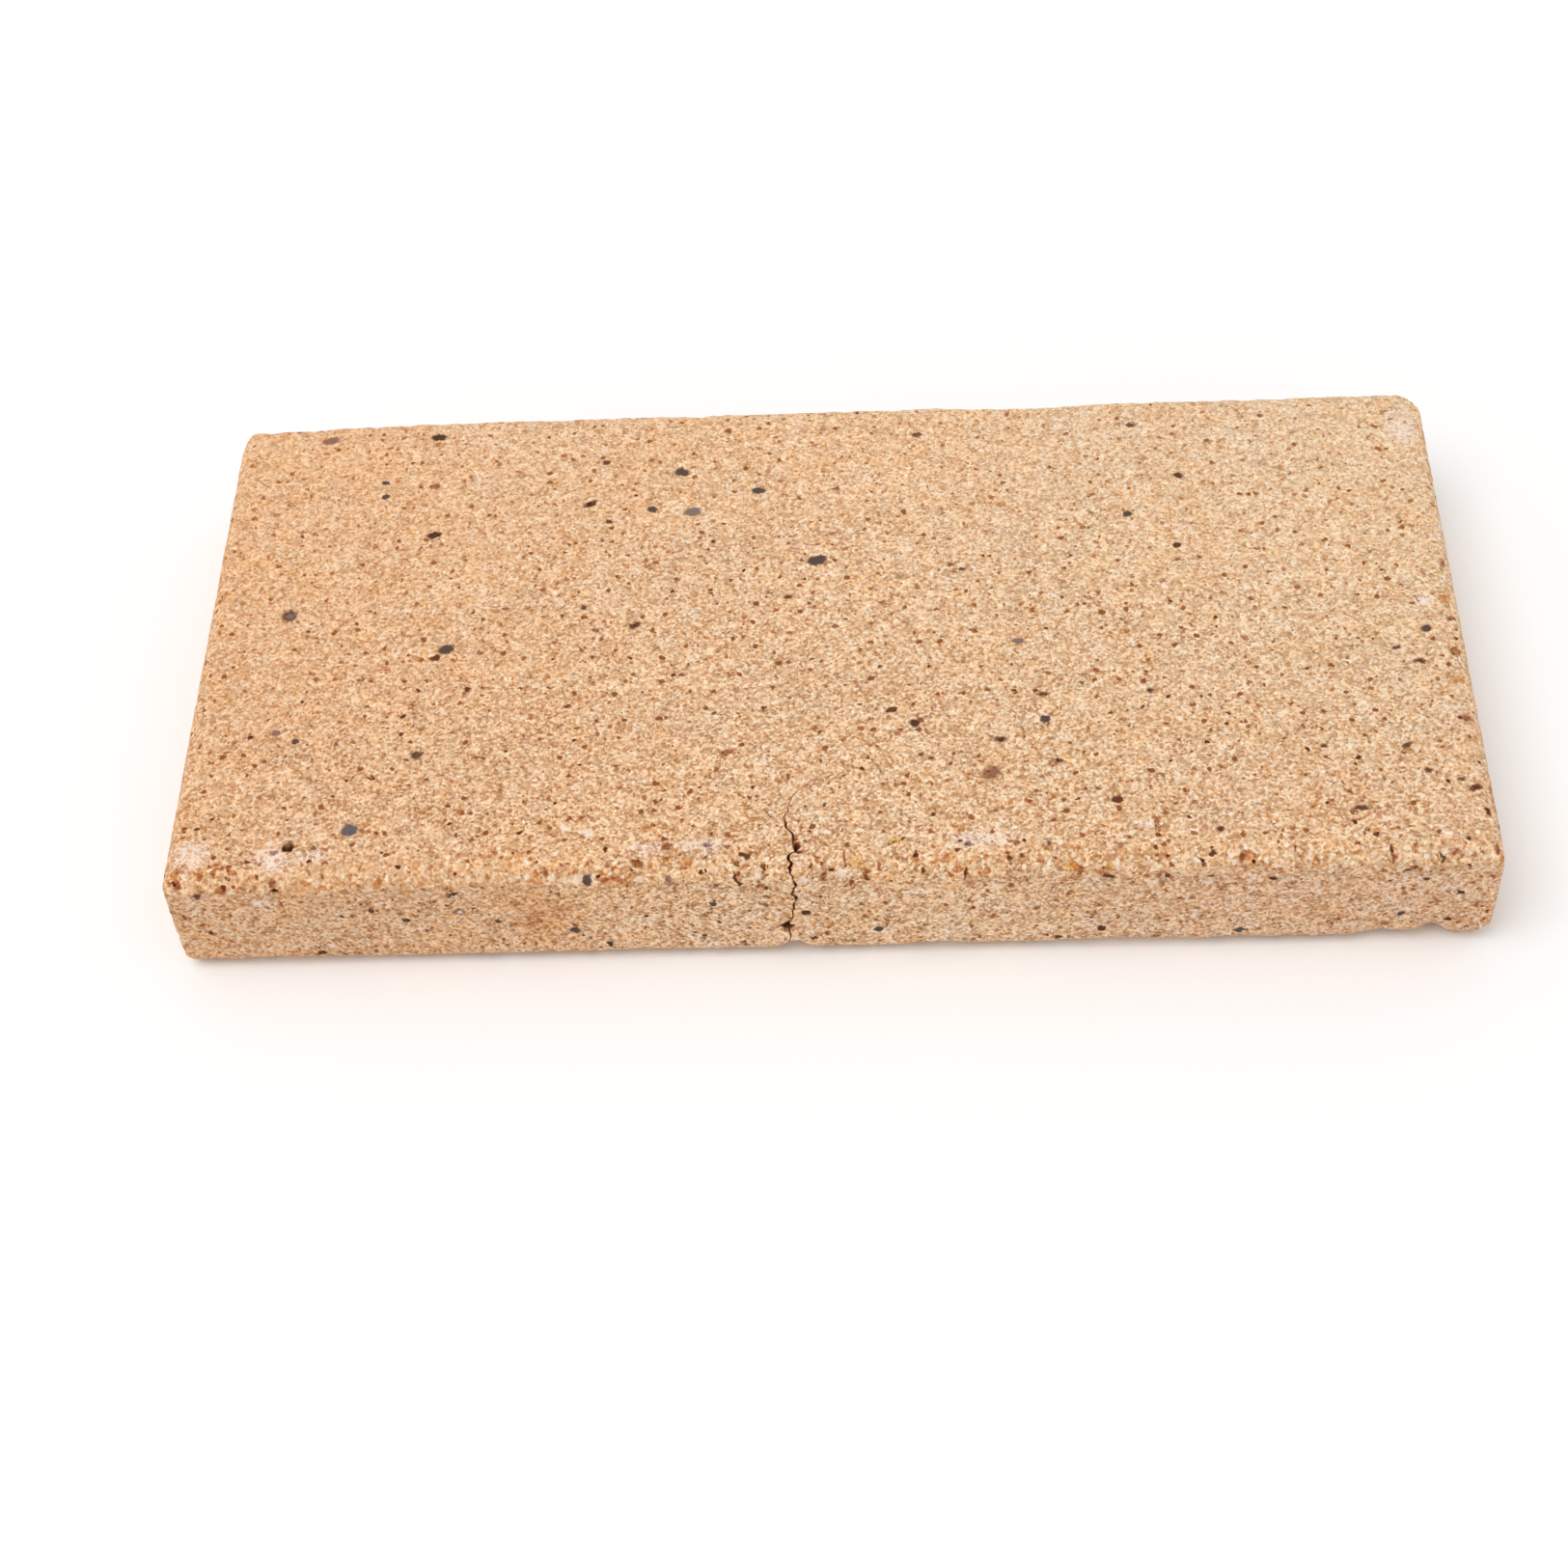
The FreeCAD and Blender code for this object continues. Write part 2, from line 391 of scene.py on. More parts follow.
def wear(p):
    """How far wear moves each point in, and how much it lies in the band over the front arris."""
    x = p[:, 0]
    behind, ahead = p[:, 1] - FRONT, BACK - p[:, 1]
    below, above = TOP - p[:, 2], p[:, 2] - UNDER
    sides = ((x - LEFT, RIGHT - x), (behind, ahead), (below, above))
    second_nearest = np.sort([np.minimum(*pair) for pair in sides], axis=0)[1]
    arris = 1.0 - smooth(*ARRIS_SPAN, second_nearest)
    band = near_edge(behind, below, BAND_SPAN)
    crumbs = (CRUMB_DEPTH - CRUMB_LESS_IN_BAND * band) * waves(p, CRUMB_RELIEF, folded=True)
    worn = (waves(p, ARRIS_RELIEF, folded=True) + crumbs) * arris
    knobs = waves(p, KNOB_RELIEF, folded=True) * band
    calm = smooth(*CALM_FROM, x) * (1.0 - smooth(*CALM_TO, x)) * (1.0 - smooth(*CALM_BEHIND, behind))
    body = np.clip(BODY_DEPTH + waves(p, BODY_RELIEF), 0.0, None)
    down = body + (worn + knobs) * (1.0 - CALM_SHARE * calm)
    upright = near_edge(RIGHT - x, behind, UPRIGHT_SPAN) * smooth(*UPRIGHT_BELOW, below)
    down *= 1.0 - UPRIGHT_SHARE * upright
    for table, away_a, away_b in ((FOOT_WEAR, behind, above), (BACK_WEAR, ahead, below)):
        places, depths = zip(*table)
        down += near_edge(away_a, away_b, WEAR_SPAN) * np.interp(x, places, depths)
    return down, band


def relief(p, out, sharp, across, crack_depth):
    """Moves points in by wear, crack and pits, and gives the clay the hollows' painted shade and the
    band.
    """
    down, band = wear(p)
    line = on_a_line(crack_run(sharp)[0])
    half_widths = np.abs(across)
    crack = crack_depth * np.interp(half_widths, CRACK_STEPS, CRACK_PROFILE)
    # Painted shade in the crack, strongest at its middle and where it is deep
    hollow_shade = np.interp(half_widths, CRACK_STEPS, CRACK_DARKNESS) * smooth(*CRACK_DARK_DEPTH, crack_depth)
    hollow_shade = np.clip(hollow_shade * (CRACK_DARK_SHARE + waves(line, CRACK_DARK_CHANGE)), 0.0, 1.0)
    rough = 1.0 + waves(p, PIT_ROUGHNESS)
    for face, x, run_in, half_x, half_across, depth in PITS:
        on_face, axis, place = pit_place(sharp, face, run_in)
        away = np.hypot((p[:, 0] - x) / half_x, (p[:, axis] - place) / half_across) * rough
        bowl = np.clip(1.0 - away ** 2, 0.0, 1.0) * on_face
        down += depth * np.sqrt(bowl)
        # Painted shade in the pit
        hollow_shade = np.maximum(hollow_shade, smooth(*PIT_DARKNESS, bowl))
    moved = p - out * (down + crack)[:, None]
    return np.clip(moved, BOX_LOW, BOX_HIGH), hollow_shade, band


def make_brick():
    """The skin of the brick as one mesh, with its hollows' painted shade and its band for the clay."""
    sharp, faces, across = lattice()
    sharp, crack_depth = warp(sharp, across)
    p, out = onto_block(sharp)
    p, hollow_shade, band = relief(p, out, sharp, across, crack_depth)
    mesh = bpy.data.meshes.new("brick_skin")
    mesh.from_pydata((p * MM).tolist(), [], faces)
    for name, values in (("hollow_shade", hollow_shade), ("band", band)):
        layer = mesh.attributes.new(name, "FLOAT", "POINT")
        layer.data.foreach_set("value", values.astype(np.float32))
    mesh.shade_smooth()
    mesh.set_sharp_from_angle(angle=math.radians(SHARP_ANGLE))
    brick = bpy.data.objects.new("brick_skin", mesh)
    bpy.context.scene.collection.objects.link(brick)
    return brick


# Noise keeps close to its middle, so a swing of 1 takes this much of it
SWING_PER_NOISE = 7.0
# A round grain is full within this share of its radius
GRAIN_CORE = 0.6


class Tree:
    """Short names for making shader nodes."""

    def __init__(self, tree):
        self.nodes = tree.nodes
        self.links = tree.links
        self.nodes.clear()

    def add(self, kind, inputs=None, **settings):
        node = self.nodes.new(kind)
        for key, value in settings.items():
            setattr(node, key, value)
        for key, value in (inputs or {}).items():
            if isinstance(value, bpy.types.NodeSocket):
                self.links.new(value, node.inputs[key])
            else:
                node.inputs[key].default_value = value
        return node

    def math(self, operation, a, b=0.0, clamp=False):
        node = self.add("ShaderNodeMath", {0: a, 1: b}, operation=operation, use_clamp=clamp)
        return node.outputs[0]

    def chain(self, operation, *terms):
        result = terms[0]
        for term in terms[1:]:
            result = self.math(operation, result, term)
        return result

    def total(self, *terms):
        return self.chain("ADD", *terms)

    def product(self, *terms):
        return self.chain("MULTIPLY", *terms)

    def vector(self, operation, a, b, output=0):
        return self.add("ShaderNodeVectorMath", {0: a, 1: b}, operation=operation).outputs[output]

    def span(self, value, low, high, to_low=0.0, to_high=1.0, kind="SMOOTHSTEP"):
        """Goes from to_low to to_high while the value goes from low to high."""
        node = self.add("ShaderNodeMapRange", {0: value, 1: low, 2: high, 3: to_low, 4: to_high})
        node.interpolation_type = kind
        return node.outputs[0]

    def mix(self, factor, a, b, blend="MIX"):
        node = self.add("ShaderNodeMix", data_type="RGBA", blend_type=blend)
        for index, value in ((0, factor), (6, a), (7, b)):
            if isinstance(value, bpy.types.NodeSocket):
                self.links.new(value, node.inputs[index])
            else:
                node.inputs[index].default_value = value
        return node.outputs[2]

    def tint(self, factor, colour, tint):
        """Multiplies a colour by a tint where the factor is 1."""
        return self.mix(factor, colour, (*tint, 1.0), "MULTIPLY")

    def noise(self, vector, size, detail=0.0, output=0):
        inputs = {"Vector": vector, "Scale": 1.0 / size, "Detail": detail}
        return self.add("ShaderNodeTexNoise", inputs).outputs[output]

    def swing(self, vector, size, amount):
        """Noise of one size around zero; amount is about its spread."""
        fac = self.noise(vector, size)
        return self.product(self.math("SUBTRACT", fac, 0.5), amount * SWING_PER_NOISE)

    def cells(self, vector, size):
        return self.add("ShaderNodeTexVoronoi", {"Vector": vector, "Scale": 1.0 / size})

    def picks(self, cells):
        """Three random numbers from 0 to 1 for each cell."""
        return self.add("ShaderNodeSeparateColor", {0: cells.outputs["Color"]}).outputs

    def grains(self, vector, size, small, large):
        """Round grains, one in a cell: how much of one is here, and two random numbers for it."""
        cells = self.cells(vector, size)
        pick = self.picks(cells)
        radius = self.span(pick[0], 0.0, 1.0, small, large, "LINEAR")
        away = self.math("DIVIDE", cells.outputs["Distance"], radius)
        return self.span(away, 1.0, GRAIN_CORE), pick[1], pick[2]


def linear(red, green, blue):
    """A colour seen on a screen, 0 to 255, as a shader takes it."""
    found = []
    for c in (red, green, blue):
        c /= 255.0
        found.append(c / 12.92 if c <= 0.04045 else ((c + 0.055) / 1.055) ** 2.4)
    return (*found, 1.0)


# Shades of the fired clay, from the deepest hollow to the palest grain
SHADES = (
    (-110.0, (86, 42, 20)),
    (-80.0, (136, 85, 48)),
    (-58.0, (165, 115, 73)),
    (-42.0, (185, 136, 93)),
    (-27.0, (200, 153, 110)),
    (-14.0, (213, 169, 127)),
    (0.0, (226, 184, 143)),
    (13.0, (236, 197, 158)),
    (24.0, (244, 207, 169)),
    (40.0, (252, 222, 186)),
    (60.0, (255, 234, 206)),
)
SHADE_LOW, SHADE_HIGH = SHADES[0][0], SHADES[-1][0]
CLAY = dict(SHADES)[0.0]

# Angular grains, one to a cell: cell size, and how far the shade swings between two of them
FINE, FINE_SHADES = 0.48, 78.0
CHIP, CHIP_SHADES = 0.9, 20.0
# Round grains: cell size, smallest and largest radius as a share of it; darkest and palest shade
GRIT, GRIT_SHADES = (1.25, 0.17, 0.33), (-60.0, 28.0)
POCK, POCK_SHADES = (2.1, 0.14, 0.33), (-156.0, 14.0)
CLOT, CLOT_SHADES = (3.6, 0.15, 0.32), (-34.0, 8.0)
CRUMB = (1.7, 0.15, 0.36)
# A grain is rusty when its random number is above these
RUSTY_POCK, RUSTY_GRIT = (0.71, 0.75), (0.86, 0.90)
RUST_GRAIN, RUST_STRENGTH = (170, 100, 54), 0.6
# Soft changes of shade: size, amount
FINE_SWING, BENT_SWING = (0.45, 9.0), (1.5, 3.4)
BROAD_SWINGS = ((3.0, 2.0), (8.0, 1.3), (26.0, 0.8))
BAND_SHADE = -5.0
# Size of the noise that bends the grains out of round, by half a millimetre at most
BEND = 0.9

# A span is from, to, and the amount at each, or 0 and 1 where none is given. Spans along the brick
# and in depth are shares of its length and width, and those named X, Y or Z are millimetres.
CONTRAST_DEPTH, POCKS_DEPTH = (0.15, 1.0, 1.07, 0.76), (0.15, 0.9, 1.10, 0.80)
CONTRAST_LEFT, CONTRAST_RIGHT = (0.0, 0.40, 0.87, 1.0), (0.5, 1.0, 1.0, 0.84)
# Contrast in the band over the front arris, and on that arris's plain stretch
CONTRAST_BAND, CONTRAST_PLAIN = (0.0, 1.0, 1.0, 0.94), (0.0, 0.8, 1.0, 0.82)
PLAIN_FROM, PLAIN_TO = (0.05, 0.10), (0.24, 0.32, 1.0, 0.0)

# Tints over the clay's own colour, each followed by where it lies: along the brick, from front to
# back, at the right and on the front face; the brighter rim at the right end is painted light
TONE_LEFT, TONE_RIGHT = (1.0, 0.93, 0.88), (1.0, 1.085, 1.16)
TONE_FACE, TONE_NEAR, TONE_FAR = (1.03, 1.03, 1.02), (0.98, 0.97, 0.965), (1.04, 1.05, 1.065)
FACE_DEPTH = 0.09
TONE_NEAR_RIGHT = (1.0, 0.97, 0.955)
NEAR_RIGHT_ALONG, NEAR_RIGHT_DEPTH = (0.55, 0.90), (0.10, 0.45, 1.0, 0.0)
TONE_EDGE = (1.0, 0.974, 0.957)
EDGE_X, EDGE_DEPTH = (RIGHT - 14.0, RIGHT - 7.0), (0.35, 0.60, 1.0, 0.15)
# Painted light: the rim at the right end is brightened
RIM_PAINTED_LIGHT, RIM_X = (1.09, 1.07, 1.06), (RIGHT - 3.5, RIGHT - 1.2)
FACE_LEFT, FACE_MIDDLE, FACE_RIGHT = (0.903, 0.885, 0.895), (1.0, 1.0, 1.02), (0.945, 0.905, 0.93)
LEFT_ALONG, RIGHT_ALONG = (0.05, 0.42), (0.50, 0.85)
# Where the front face passes into the arris
FACE_Z, FACE_Y = (TOP - 4.5, TOP - 2.5), (FRONT + 1.0, FRONT + 3.0)
# Warm and cold grains: tints, their strength, and the swings that pick them
WARM_GRAIN, COLD_GRAIN, GRAIN_TINT = (1.08, 0.91, 0.68), (0.92, 1.09, 1.32), 1.15
WARM_SWINGS, WARM_BENT_SWING = ((30.0, 0.05), (4.0, 0.10)), (1.0, 0.22)
# The worn front arris: the part of the band that it takes, how far back its crumbs are strewn, how
# they thin out on the way, and how pale crumbs are by their random number
ARRIS_BAND = (0.35, 0.75)
STREWN_REACH, STREWN_THINNING = (0.25, 0.50, 0.10, 0.23), (0.2, 1.0, 1.0, 0.15)
PALE_CRUMBS = (0.58, 0.74, 0.0, 0.85)
# Its wear, where the gaps below are painted: in patches, in strewn spots (noise size, amount by the
# noise) and at the left corner; a stretch of it is spared by this share
PATCH, PATCH_WEAR = 11.0, (0.40, 0.62, 0.16, 0.62)
SPOT, SPOT_WEAR = 6.0, (0.48, 0.64, 0.10, 0.72)
CORNER_WEAR = (0.05, 0.09, 0.8, 0.0)
SPARED_FROM, SPARED_TO, SPARED_SHARE = (0.07, 0.13), (0.26, 0.36, 1.0, 0.0), 0.6
# Gaps between its crumbs, rusty with painted shadow: noise size, then where they begin in it and their
# tint
LUMP = 1.25
GAPS_RUST_AND_SHADOW = (
    ((0.56, 0.62), (0.90, 0.72, 0.54)),
    ((0.63, 0.68), (0.66, 0.44, 0.30)),
)
# Painted shade from the lip of a pit or crack to its bottom: where it begins and is full, and its colour
HOLLOW_SHADE_COLOURS = (
    ((0.08, 0.55), (168, 104, 58)),
    ((0.4, 0.8), (104, 56, 30)),
    ((0.75, 1.0), (78, 40, 22)),
)
# The bump in millimetres: for a shade of 1, and as noise (size, amount)
BUMP_PER_SHADE, BUMP_SWING, BUMP_STRENGTH = 0.0026, (0.5, 0.012), 0.6
ROUGHNESS, SPECULAR = 0.93, 0.25

INK, SLATE, PURPLE, UMBER = (66, 32, 14), (94, 88, 92), (142, 102, 88), (92, 44, 18)
RUST, ORANGE, CREAM, GREY = (150, 84, 46), (206, 144, 92), (251, 235, 216), (76, 60, 56)
BLOOM, ASH, GOLD = (246, 228, 218), (126, 106, 102), (214, 160, 96)

# Single marks in the clay, as the photograph shows them: soft blooms, stains, stones and crumbs.
# On the top face the place is x and y, on the front face and the rounded arris above it x and z.
# Kind, colour, place, half sizes along X and across, and degrees of turn where it is turned
TOP_MARKS = (
    ("bloom", BLOOM, (-110.0, -51.3), (5.0, 3.6)),
    ("bloom", BLOOM, (-95.4, -53.0), (5.2, 3.4)),
    ("bloom", BLOOM, (-88.5, -52.0), (3.6, 2.0)),
    ("bloom", BLOOM, (-31.0, -52.2), (4.4, 2.2)),
    ("bloom", BLOOM, (-21.0, -51.6), (6.0, 2.4)),
    ("bloom", BLOOM, (26.4, -51.8), (7.5, 2.0)),
    ("bloom", BLOOM, (110.0, 46.0), (4.0, 6.0)),
    ("stone", SLATE, (-82.7, -46.6), (1.65, 1.45), 20.0),
    ("stone", GREY, (-1.6, 15.3), (2.0, 1.25), 15.0),
    ("stone", GREY, (-69.4, -4.8), (1.7, 1.15), 25.0),
    ("stone", UMBER, (-71.2, -6.8), (1.0, 0.7), 30.0),
    ("stone", INK, (-75.6, 51.3), (1.7, 1.0)),
    ("stone", PURPLE, (-96.8, 51.4), (1.9, 1.3), 10.0),
    ("stone", GREY, (-27.6, 39.6), (1.7, 1.1), -10.0),
    ("stone", GREY, (-12.9, 34.1), (1.4, 1.0)),
    ("stone", ASH, (-25.2, 28.9), (1.8, 1.2), 10.0),
    ("stone", GREY, (-33.0, 30.0), (1.0, 0.8)),
    ("stone", INK, (-74.2, 24.7), (1.4, 1.0), 15.0),
    ("stone", GREY, (-84.4, 35.2), (0.8, 0.7)),
    ("stone", GREY, (-84.8, 39.1), (0.8, 0.7)),
    ("stain", UMBER, (-99.4, 4.7), (1.9, 1.8), 45.0),
    ("stone", ASH, (-99.4, 4.7), (0.8, 0.8), 45.0),
    ("stain", RUST, (-75.1, 37.7), (1.3, 0.9)),
    ("stain", UMBER, (-44.8, 31.8), (1.9, 0.8), 35.0),
    ("stain", UMBER, (-42.3, 42.9), (1.0, 0.9)),
    ("stain", UMBER, (-41.1, 26.9), (0.9, 0.7)),
    ("stain", UMBER, (-35.0, 0.0), (1.5, 0.9), 30.0),
    ("stain", UMBER, (-44.7, 4.9), (0.8, 0.7)),
    ("stone", PURPLE, (-98.5, -23.9), (1.1, 0.7)),
    ("stone", GREY, (-94.6, -26.0), (0.9, 0.6)),
    ("stain", UMBER, (-72.6, -29.9), (1.5, 1.2)),
    ("stone", UMBER, (-64.6, -14.5), (0.8, 0.6)),
    ("stain", UMBER, (-46.3, -19.3), (0.9, 0.6)),
    ("crumb", CREAM, (-41.1, -48.3), (1.4, 1.1)),
    ("crumb", CREAM, (-45.2, -47.3), (0.9, 0.7)),
    ("stain", ORANGE, (-30.9, -47.7), (1.4, 1.0)),
    # Painted shade in the pit at the left, laid as a dark stone
    ("stone", INK, (-93.1, -49.7), (1.1, 0.85), 40.0),
    ("stain", PURPLE, (-95.3, -51.2), (1.0, 0.6), 20.0),
    ("stone", UMBER, (-99.8, -53.1), (0.7, 0.45)),
    ("stone", UMBER, (-89.0, -53.3), (0.6, 0.4)),
    ("stain", UMBER, (58.7, 49.0), (1.2, 0.7)),
    ("stain", UMBER, (17.5, 48.1), (1.2, 0.8)),
    ("stone", UMBER, (66.7, 34.9), (1.1, 0.8), -20.0),
    ("stone", GREY, (56.4, 25.1), (0.9, 0.8)),
    ("stone", UMBER, (65.1, 16.7), (0.9, 0.7)),
    ("stone", GREY, (107.9, -5.8), (1.1, 0.8)),
    ("stain", ORANGE, (32.9, 28.6), (1.2, 0.9)),
    ("stain", UMBER, (25.1, 12.0), (0.9, 0.6)),
    ("stone", ASH, (34.8, -6.3), (1.2, 0.7)),
    ("stain", UMBER, (-20.0, -21.9), (0.7, 0.5)),
    ("stain", UMBER, (-6.9, 6.2), (1.0, 0.6)),
    ("stain", UMBER, (9.7, -11.7), (0.6, 0.5)),
    ("stain", RUST, (-17.5, -31.1), (1.4, 0.8), 20.0),
    ("stain", UMBER, (30.7, -29.4), (1.4, 0.8)),
    ("stain", RUST, (-10.1, -44.9), (1.7, 0.20), -52.0),
    ("stain", UMBER, (45.6, -16.7), (0.7, 0.5)),
    ("stain", UMBER, (38.6, -19.2), (1.2, 0.7)),
    ("stain", UMBER, (40.6, -34.7), (0.9, 0.6)),
    ("stain", UMBER, (57.5, -18.9), (0.9, 0.7)),
    ("stain", UMBER, (86.8, -32.9), (1.0, 0.7)),
    ("stain", UMBER, (67.1, -50.7), (1.0, 0.7)),
    ("stain", UMBER, (91.6, -47.0), (1.9, 0.7)),
    ("stain", UMBER, (100.9, -33.3), (1.2, 0.8), 40.0),
    ("stain", UMBER, (105.9, -13.7), (1.0, 0.7), -30.0),
    ("stain", UMBER, (102.0, -10.3), (0.9, 0.6)),
    ("stain", UMBER, (103.8, -39.0), (0.9, 0.7)),
    ("stain", UMBER, (109.4, -41.1), (0.9, 0.6)),
    ("stain", UMBER, (111.4, -43.0), (1.8, 0.9), 20.0),
    ("stain", RUST, (112.4, -11.4), (1.4, 1.3)),
    ("crumb", ORANGE, (112.4, -11.6), (0.6, 0.5)),
    ("stain", ORANGE, (111.8, -18.2), (1.8, 1.0)),
    ("crumb", BLOOM, (113.0, -15.9), (0.6, 0.6)),
    ("bloom", BLOOM, (110.4, -25.2), (1.9, 1.1)),
    ("stain", RUST, (112.0, -27.3), (1.8, 0.9)),
    ("stain", ORANGE, (113.1, -31.5), (0.7, 1.3)),
    ("stain", ORANGE, (107.1, -33.7), (1.6, 0.7)),
    ("bloom", BLOOM, (108.2, 0.9), (2.3, 1.9)),
    ("stain", ORANGE, (112.2, 1.2), (1.6, 1.2), 30.0),
    ("stain", RUST, (112.4, -3.6), (0.9, 0.7)),
    ("stain", RUST, (113.4, 10.6), (1.0, 1.5)),
    ("stone", UMBER, (11.8, -22.0), (1.0, 0.8)),
    ("stone", INK, (15.7, -25.3), (1.1, 0.9)),
    ("stone", GREY, (38.7, -25.2), (1.1, 0.9)),
    ("stain", RUST, (28.7, -37.1), (2.3, 1.8), 30.0),
    ("stone", PURPLE, (29.2, -37.0), (1.0, 0.7), 30.0),
    ("stone", UMBER, (50.2, -43.8), (1.2, 0.9)),
    ("stain", PURPLE, (-20.3, -51.6), (1.1, 0.7)),
    # Painted shade of a short crack, laid as a dark stone
    ("stone", UMBER, (-13.8, -54.1), (1.2, 0.6), -20.0),
    ("stain", RUST, (-32.5, -55.0), (1.7, 1.0), -20.0),
    ("stain", RUST, (-27.3, -51.8), (1.2, 1.0)),
    ("stain", PURPLE, (38.0, -52.7), (0.7, 0.5)),
    ("stain", PURPLE, (50.2, -53.5), (0.8, 0.55)),
    ("stone", UMBER, (93.4, -52.7), (0.65, 0.5)),
    ("stone", UMBER, (95.6, -55.4), (0.5, 0.7), 10.0),
    ("stain", GOLD, (12.2, -51.4), (1.6, 0.9)),
    ("stone", UMBER, (13.2, -51.2), (0.45, 0.3)),
    ("stain", RUST, (18.0, -50.0), (0.9, 0.5)),
    ("stain", RUST, (32.4, -52.6), (0.9, 0.7)),
    ("stone", UMBER, (33.9, -52.2), (0.5, 0.4)),
    ("stain", ORANGE, (42.8, -53.9), (2.0, 0.6)),
    ("bloom", BLOOM, (54.9, -49.5), (2.0, 1.5)),
    ("stain", RUST, (58.3, -53.1), (0.6, 0.5)),
    ("stain", ORANGE, (67.6, -54.0), (0.9, 0.5), -30.0),
    ("stone", UMBER, (108.6, -54.0), (0.55, 0.4)),
    ("stone", UMBER, (112.9, -48.5), (0.5, 0.6)),
)
